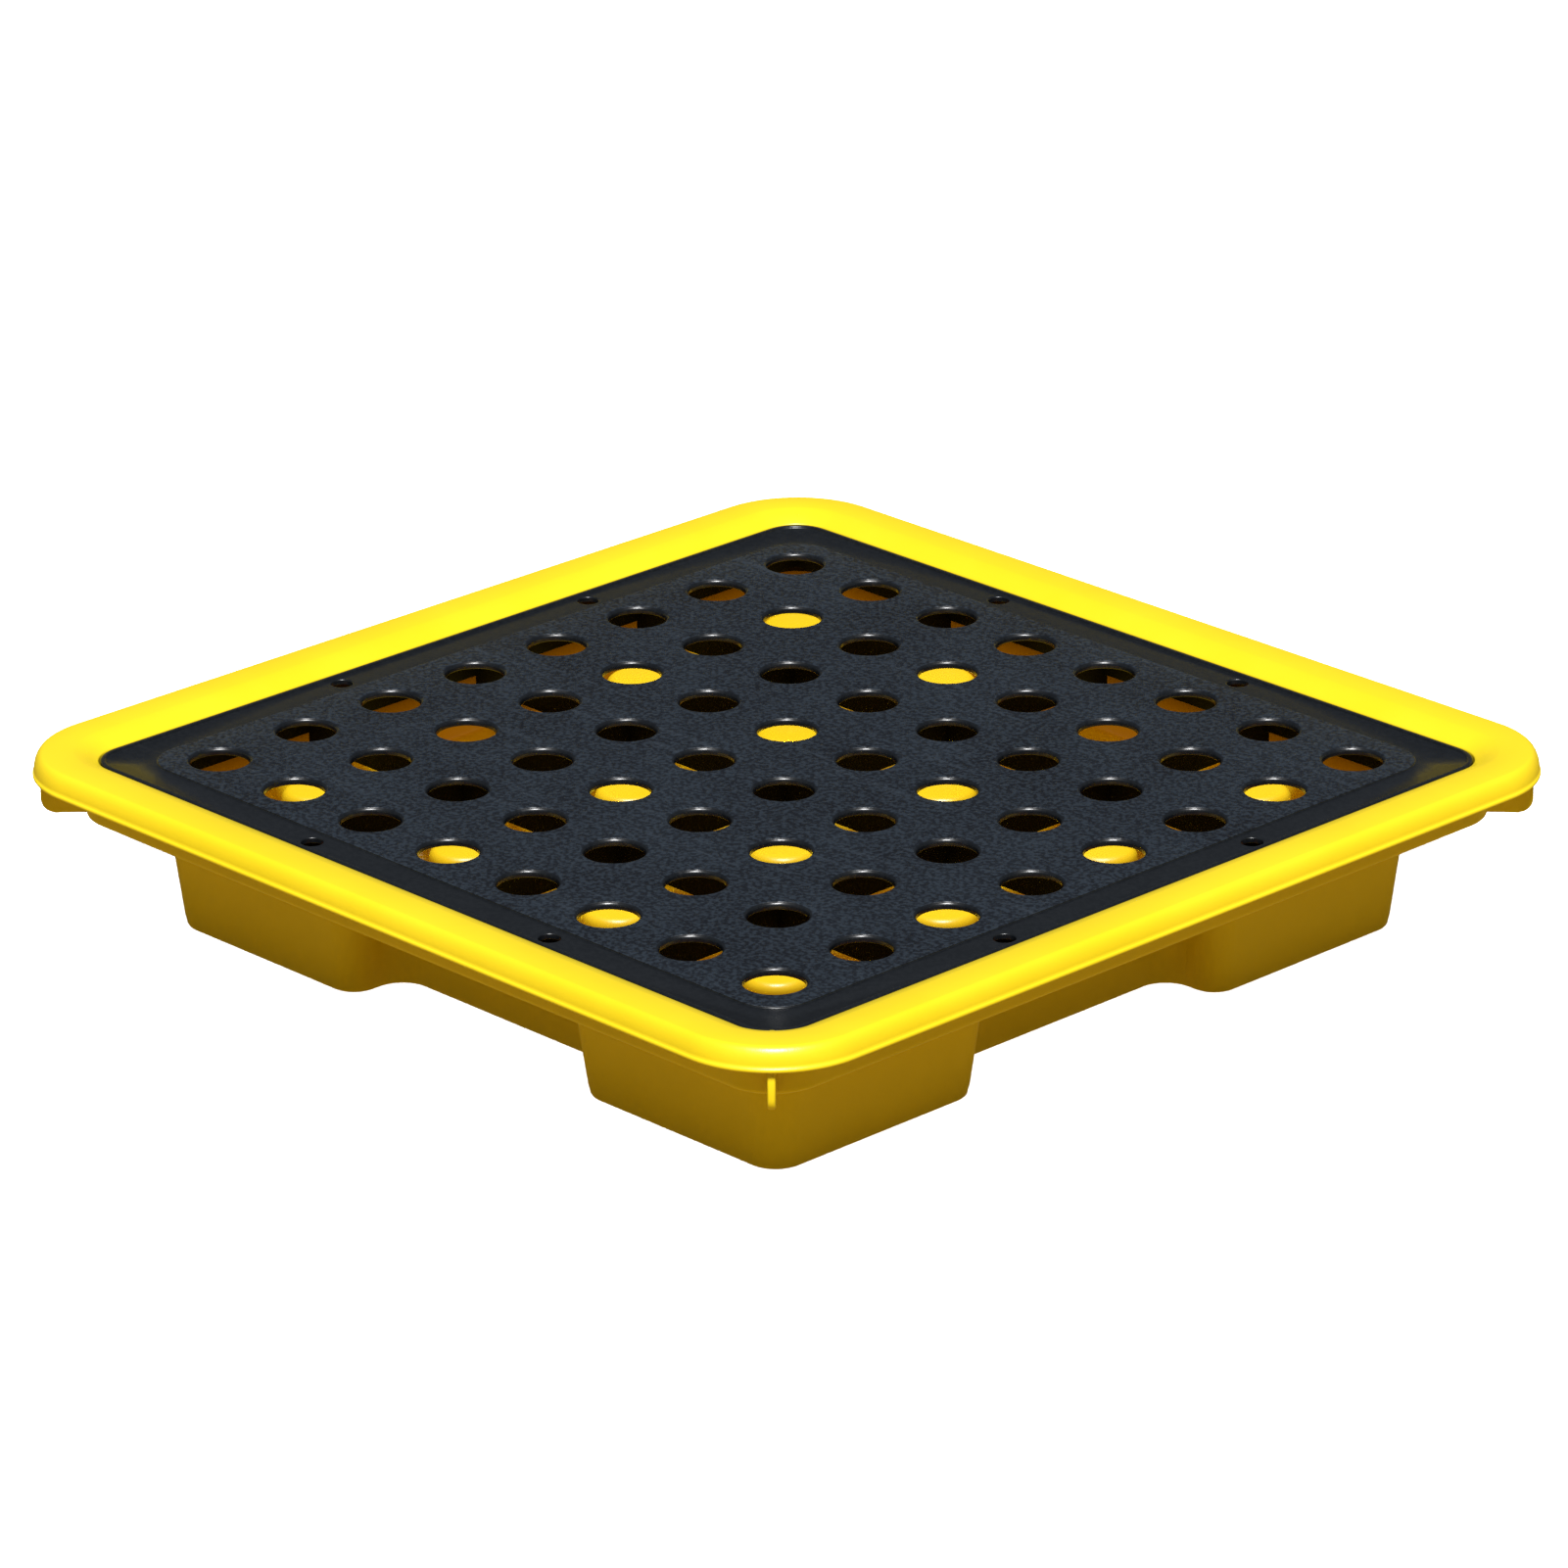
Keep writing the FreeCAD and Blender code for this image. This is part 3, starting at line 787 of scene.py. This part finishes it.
KEY_TO_SIDE = 3.0            # degrees of azimuth from the camera
KEY_ELEVATION = 55.0
KEY_SPREAD = 15.0            # how wide a far light looks from the pallet, in degrees
KEY_STRENGTH = 6.1
SUMP_FILL_Z = 114.0          # millimetres: under the deck plate, over the pillars
SUMP_FILL_SIZE = 690.0
SUMP_FILL_POWER = 0.62
SUMP_FILL_COLOUR = (1.0, 0.42, 0.06)
PILLAR_FILL_STRENGTH = 4.0
FLOOR_WASH_STRENGTH = 3.8
WORLD_COLOUR = (0.80, 0.88, 1.0)
WORLD_STRENGTH = 0.10
FLOOR_PALE = (0.93, 0.93, 0.93)
FLOOR_BOUNCE = (0.185, 0.130, 0.020)
FLOOR_ROUGHNESS = 0.9
FLOOR_REACH = 12.0           # metres
FLOOR_Z = -0.0003            # metres: just under the feet, so that the two faces don't share a plane


def from_direction(azimuth, elevation):
    """Unit vector towards a direction in degrees."""
    a = math.radians(azimuth)
    e = math.radians(elevation)
    return Vector((math.cos(e) * math.cos(a), math.cos(e) * math.sin(a), math.sin(e)))


def camera():
    """Camera fitted to the photograph."""
    azimuth = math.radians(CAMERA_AZIMUTH)
    roll = math.radians(CAMERA_ROLL)
    back = from_direction(CAMERA_AZIMUTH, CAMERA_ELEVATION)
    level = Vector((-math.sin(azimuth), math.cos(azimuth), 0.0))
    upright = back.cross(level)
    right = level * math.cos(roll) - upright * math.sin(roll)
    up = level * math.sin(roll) + upright * math.cos(roll)
    data = bpy.data.cameras.new("camera")
    data.lens = CAMERA_LENS
    data.sensor_width = CAMERA_SENSOR
    obj = bpy.data.objects.new("camera", data)
    turn = Matrix((right, up, back)).transposed().to_4x4()
    place = Matrix.Translation(Vector(CAMERA_TARGET) + back * CAMERA_DISTANCE)
    obj.matrix_world = place @ turn
    bpy.context.scene.collection.objects.link(obj)
    bpy.context.scene.camera = obj


def far_light(name, towards, strength):
    """Large soft light from far away, whose source lies in the direction towards."""
    data = bpy.data.lights.new(name, "SUN")
    data.energy = strength
    data.angle = math.radians(KEY_SPREAD)
    obj = bpy.data.objects.new(name, data)
    obj.matrix_world = towards.to_track_quat("Z", "Y").to_matrix().to_4x4()
    bpy.context.scene.collection.objects.link(obj)
    return obj


def light_only(light, objects):
    """Keep a light to some objects, with no shadow on them from the rest."""
    group = bpy.data.collections.new(light.name + "_group")
    for obj in objects:
        group.objects.link(obj)
    light.light_linking.receiver_collection = group
    light.light_linking.blocker_collection = group


def lights(pillars, floor):
    """Soft key from high behind the camera, and lights for the sump, the pillars and the floor."""
    overhead = Vector((0.0, 0.0, 1.0))
    far_light("key", from_direction(CAMERA_AZIMUTH + KEY_TO_SIDE, KEY_ELEVATION), KEY_STRENGTH)
    data = bpy.data.lights.new("sump_fill", "AREA")
    data.size = SUMP_FILL_SIZE * MM
    data.energy = SUMP_FILL_POWER
    data.color = SUMP_FILL_COLOUR
    panel = bpy.data.objects.new("sump_fill", data)
    panel.matrix_world = Matrix.Translation(overhead * SUMP_FILL_Z * MM)
    panel.visible_glossy = False
    bpy.context.scene.collection.objects.link(panel)
    light_only(far_light("pillar_fill", overhead, PILLAR_FILL_STRENGTH), pillars)
    light_only(far_light("floor_wash", overhead, FLOOR_WASH_STRENGTH), [floor])


def floor_plane():
    """Plain floor: pale to the camera, and a duller, warmer tone to light bounced off it."""
    material, nodes, links, shader = new_material("floor_pale")
    path = nodes.new("ShaderNodeLightPath")
    colour = mix_colour(nodes, links, path.outputs["Is Camera Ray"], FLOOR_BOUNCE, FLOOR_PALE)
    links.new(colour, shader.inputs["Base Color"])
    shader.inputs["Roughness"].default_value = FLOOR_ROUGHNESS
    shader.inputs["Specular IOR Level"].default_value = 0.0
    mesh = bpy.data.meshes.new("floor")
    corners = [(*quarter((FLOOR_REACH, FLOOR_REACH), turns), FLOOR_Z) for turns in range(4)]
    mesh.from_pydata(corners, [], [(0, 1, 2, 3)])
    floor = bpy.data.objects.new("floor", mesh)
    floor.data.materials.append(material)
    bpy.context.scene.collection.objects.link(floor)
    return floor


def studio(pillars):
    """Faint sky, lights and floor."""
    world = bpy.data.worlds.new("studio")
    world.use_nodes = True
    background = world.node_tree.nodes["Background"]
    background.inputs["Color"].default_value = (*WORLD_COLOUR, 1.0)
    background.inputs["Strength"].default_value = WORLD_STRENGTH
    bpy.context.scene.world = world
    bpy.context.scene.view_settings.view_transform = "Standard"
    lights(pillars, floor_plane())


# ---------------------------------------------------------------- build
yellow = yellow_plastic()
black = black_plastic()
sump_tray(yellow)
pillar_objects = [pillar(number, place, yellow) for number, place in enumerate(pillar_spots(), start=1)]
for turns in range(4):
    gusset(turns, yellow)
deck_moulding(black)
deck_ribs(rib_plastic())
camera()
studio(pillar_objects)
